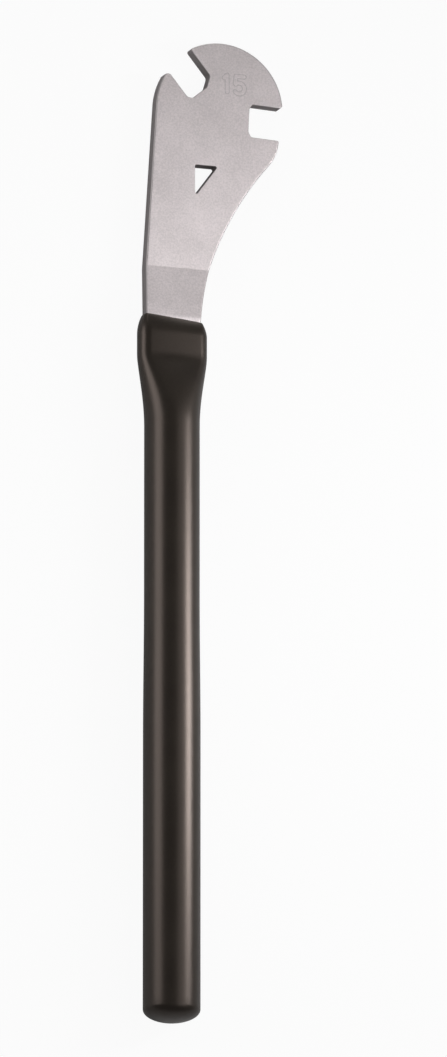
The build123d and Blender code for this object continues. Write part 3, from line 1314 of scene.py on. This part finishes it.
    def build(self, wrench: Wrench) -> bpy.types.Object:
        """Builds the coat as one closed shell, out along its outside and back along its inside.

        Near the plate the rows lean by the lip's slant, which fades along the lip's run.

        Args:
            wrench: What the pieces share.

        Returns:
            The piece.
        """
        outer_y, outer = self.rows()
        inner_y, inner = self.inner_rows()
        place = np.concatenate([outer_y[::-1], inner_y[::-1]])
        ring = self.ring(np.concatenate([outer[::-1], inner[::-1]]))
        columns = ring.shape[1]
        slant = math.tan(math.radians(self.lip_slant))
        lean = slant * np.clip(1.0 - (self.lip_edge - place) / self.lip_run, 0.0, 1.0)
        along = place[:, None] - ring[:, :, 0] * lean[:, None]
        points = np.stack([ring[:, :, 0], along, ring[:, :, 1]], axis=-1).reshape(-1, 3)
        tip = self.butt_start - self.dome
        points = np.concatenate([points, [[0.0, tip, 0.0], [0.0, tip + self.coat, 0.0]]])
        faces = [
            *grid_quads(len(place), columns).tolist(),
            *fan(0, columns, len(points) - 2).tolist(),
            *fan((len(place) - 1) * columns, columns, len(points) - 1).tolist(),
        ]
        piece = make_mesh("grip", wrench.laid.lay(points), faces, self.sharp_degrees)
        wrench.dress(piece, Slot.GRIP, DIPPED_VINYL)
        return piece


# The studio


@dataclass(frozen=True)
class Softbox:
    """A rectangular lamp, aimed at a place.

    Attributes:
        name: The lamp's name.
        toward: The direction to the lamp from what it lights, in the drawn frame.
        distance: How far away it is, in metres.
        size: Its width and its length along the handle, in metres.
        radiance: How bright its face is when it shines evenly all round, where 1 shows as white.
        aim: The place it is aimed at, as a drawn Y.
        spread: The angle of its beam, in degrees. A grid that narrows it gathers the same light in the beam.
    """

    name: str
    toward: tuple[float, float, float]
    distance: float
    size: tuple[float, float]
    radiance: float
    aim: float
    spread: float = 180.0

    def build(self, laid: LaidFrame) -> None:
        """Builds the lamp. Its power is its brightness times pi times its area.

        Args:
            laid: How the wrench lies.
        """
        lamp = bpy.data.lights.new(self.name, "AREA")
        lamp.shape = "RECTANGLE"
        lamp.size, lamp.size_y = self.size
        lamp.spread = math.radians(self.spread)
        lamp.energy = self.radiance * math.pi * self.size[0] * self.size[1]
        target = Vector(laid.lay(np.array([0.0, self.aim, 0.0])))
        toward = Vector(laid.turn(np.array(self.toward))).normalized()
        right = Vector((0.0, 1.0, 0.0)).cross(toward).normalized()
        made = add_object(self.name, lamp)
        made.visible_camera = False
        stand(made, target + toward * self.distance, right, toward)


@dataclass(frozen=True)
class Viewpoint:
    """The photograph's view: a long lens, with how its frame lies on the drawn frame.

    Attributes:
        right: The image's right, in the drawn frame.
        up: The image's up.
        scale: Image pixels for each millimetre.
        origin: The pixel of the drawn frame's origin.
        frame: The photograph's width and height in pixels.
        distance: How far away the camera is, in metres.
        sight: The furthest that it sees, in metres.
    """

    right: tuple[float, float, float] = (0.9397, 0.0, 0.3420)
    up: tuple[float, float, float] = (-0.0804, 0.9720, 0.2210)
    scale: float = 2.2512
    origin: tuple[float, float] = (172.0, 317.9)
    frame: tuple[float, float] = (447.0, 1057.0)
    distance: float = 9.4
    sight: float = 100.0

    def build(self, laid: LaidFrame) -> None:
        """Builds the camera and makes it the scene's.

        It looks at the place under the frame's middle. Its lens is as long, for the sensor, as the distance
        is for the height that the frame covers there.

        Args:
            laid: How the wrench lies.
        """
        across = (self.frame[0] / 2.0 - self.origin[0]) / self.scale
        upwards = (self.origin[1] - self.frame[1] / 2.0) / self.scale
        target = Vector(laid.lay(np.array(self.right) * across + np.array(self.up) * upwards))
        right, up = (Vector(laid.turn(np.array(axis))).normalized() for axis in (self.right, self.up))
        back = right.cross(up).normalized()
        lens = bpy.data.cameras.new("camera")
        lens.lens = lens.sensor_width * self.distance / (self.frame[1] / self.scale * MM)
        lens.clip_end = self.sight
        made = add_object("camera", lens)
        stand(made, target + back * self.distance, right, back)
        bpy.context.scene.camera = made


@dataclass(frozen=True)
class Studio:
    """The pale floor, the even light of the room and the softboxes.

    Attributes:
        floor_colour: The floor's colour under the lamps.
        floor_roughness: The floor's roughness.
        floor_size: The length of its sides, in metres.
        white_share: How much plain white the camera sees in the floor and the room.
        mirrored_share: How much of it reflections see.
        room: The room's light.
        softboxes: The lamps.
    """

    floor_colour: Colour = (0.7, 0.7, 0.7)
    floor_roughness: float = 0.9
    floor_size: float = 12.0
    white_share: float = 0.94
    mirrored_share: float = 0.05
    room: float = 0.13
    softboxes: tuple[Softbox, ...] = (
        Softbox("strip", (0.776, 0.185, 0.603), 0.713, (0.29, 0.13), 4.2, -150.0, 65.0),
        Softbox("ceiling", (0.42, 0.0, 0.9), 0.5, (0.36, 0.7), 1.02, -205.0),
        Softbox("back", (0.1, 1.0, 0.25), 0.9, (1.5, 0.42), 2.3, 60.0),
        Softbox("fill", (-0.97, 0.0, 0.23), 1.0, (0.6, 0.5), 3.9, 135.0),
    )

    def white_where_seen(self, tree: bpy.types.NodeTree) -> bpy.types.NodeSocket:
        """The share of plain white in what the camera sees, and the smaller share in what reflections see.

        It is the white share for a camera ray plus the mirrored share for a glossy or transmitted one.

        Args:
            tree: The tree of the floor's material or of the world.

        Returns:
            The share.
        """
        join = tree.links.new
        path = add_node(tree, "ShaderNodeLightPath").outputs
        mirrored = add_node(tree, "ShaderNodeMath", operation="MAXIMUM")
        join(path["Is Glossy Ray"], mirrored.inputs[0])
        join(path["Is Transmission Ray"], mirrored.inputs[1])
        dimmed = add_node(tree, "ShaderNodeMath", {1: self.mirrored_share}, operation="MULTIPLY")
        join(mirrored.outputs["Value"], dimmed.inputs[0])
        share = add_node(tree, "ShaderNodeMath", {1: self.white_share}, operation="MULTIPLY_ADD")
        join(path["Is Camera Ray"], share.inputs[0])
        join(dimmed.outputs["Value"], share.inputs[2])
        return share.outputs["Value"]

    def floor(self) -> None:
        """Builds the floor, with plain white mixed into it where the camera or a reflection sees it."""
        half = self.floor_size / 2.0
        mesh = bpy.data.meshes.new("floor")
        corners = [(-half, -half, 0.0), (half, -half, 0.0), (half, half, 0.0), (-half, half, 0.0)]
        mesh.from_pydata(corners, [], [(0, 1, 2, 3)])
        material = bpy.data.materials.new("pale_floor")
        material.use_nodes = True
        tree = material.node_tree
        join = tree.links.new
        shader = tree.nodes["Principled BSDF"]
        shader.inputs["Base Color"].default_value = (*self.floor_colour, 1.0)
        shader.inputs["Roughness"].default_value = self.floor_roughness
        shader.inputs["Specular IOR Level"].default_value = 0.0
        white = add_node(tree, "ShaderNodeEmission")
        mix = add_node(tree, "ShaderNodeMixShader")
        join(self.white_where_seen(tree), mix.inputs["Fac"])
        join(shader.outputs["BSDF"], mix.inputs[1])
        join(white.outputs["Emission"], mix.inputs[2])
        join(mix.outputs["Shader"], tree.nodes["Material Output"].inputs["Surface"])
        mesh.materials.append(material)
        add_object("floor", mesh)

    def build(self, laid: LaidFrame) -> None:
        """Builds the floor, the room's light and the softboxes.

        Args:
            laid: How the wrench lies.
        """
        self.floor()
        world = bpy.data.worlds.new("room")
        world.use_nodes = True
        tree = world.node_tree
        background = tree.nodes["Background"]
        background.inputs["Color"].default_value = (1.0, 1.0, 1.0, 1.0)
        strength = add_node(tree, "ShaderNodeMapRange", {"To Min": self.room}, clamp=False)
        tree.links.new(self.white_where_seen(tree), strength.inputs["Value"])
        tree.links.new(strength.outputs["Result"], background.inputs["Strength"])
        bpy.context.scene.world = world
        for softbox in self.softboxes:
            softbox.build(laid)
        bpy.context.scene.view_settings.view_transform = "Standard"


def main() -> None:
    """Builds the wrench piece by piece round its CAD frame, then the studio and the view."""
    logging.basicConfig(level=logging.INFO, format="%(message)s")
    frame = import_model()
    grip = GripSkin()
    laid = LaidFrame.of_record(frame["record"], (grip.swell_run[1] + grip.butt_start) / 2.0)
    wrench = Wrench(laid)
    report(HeadPlate().build(wrench))
    report(grip.build(wrench))
    tube = frame["nodes"][Slot.TUBE.value]
    tube.data.materials.clear()
    tube.data.materials.append(DRAWN_TUBE.material(wrench.grain))
    report(tube)
    Studio().build(laid)
    Viewpoint().build(laid)


if __name__ == "__main__":
    main()
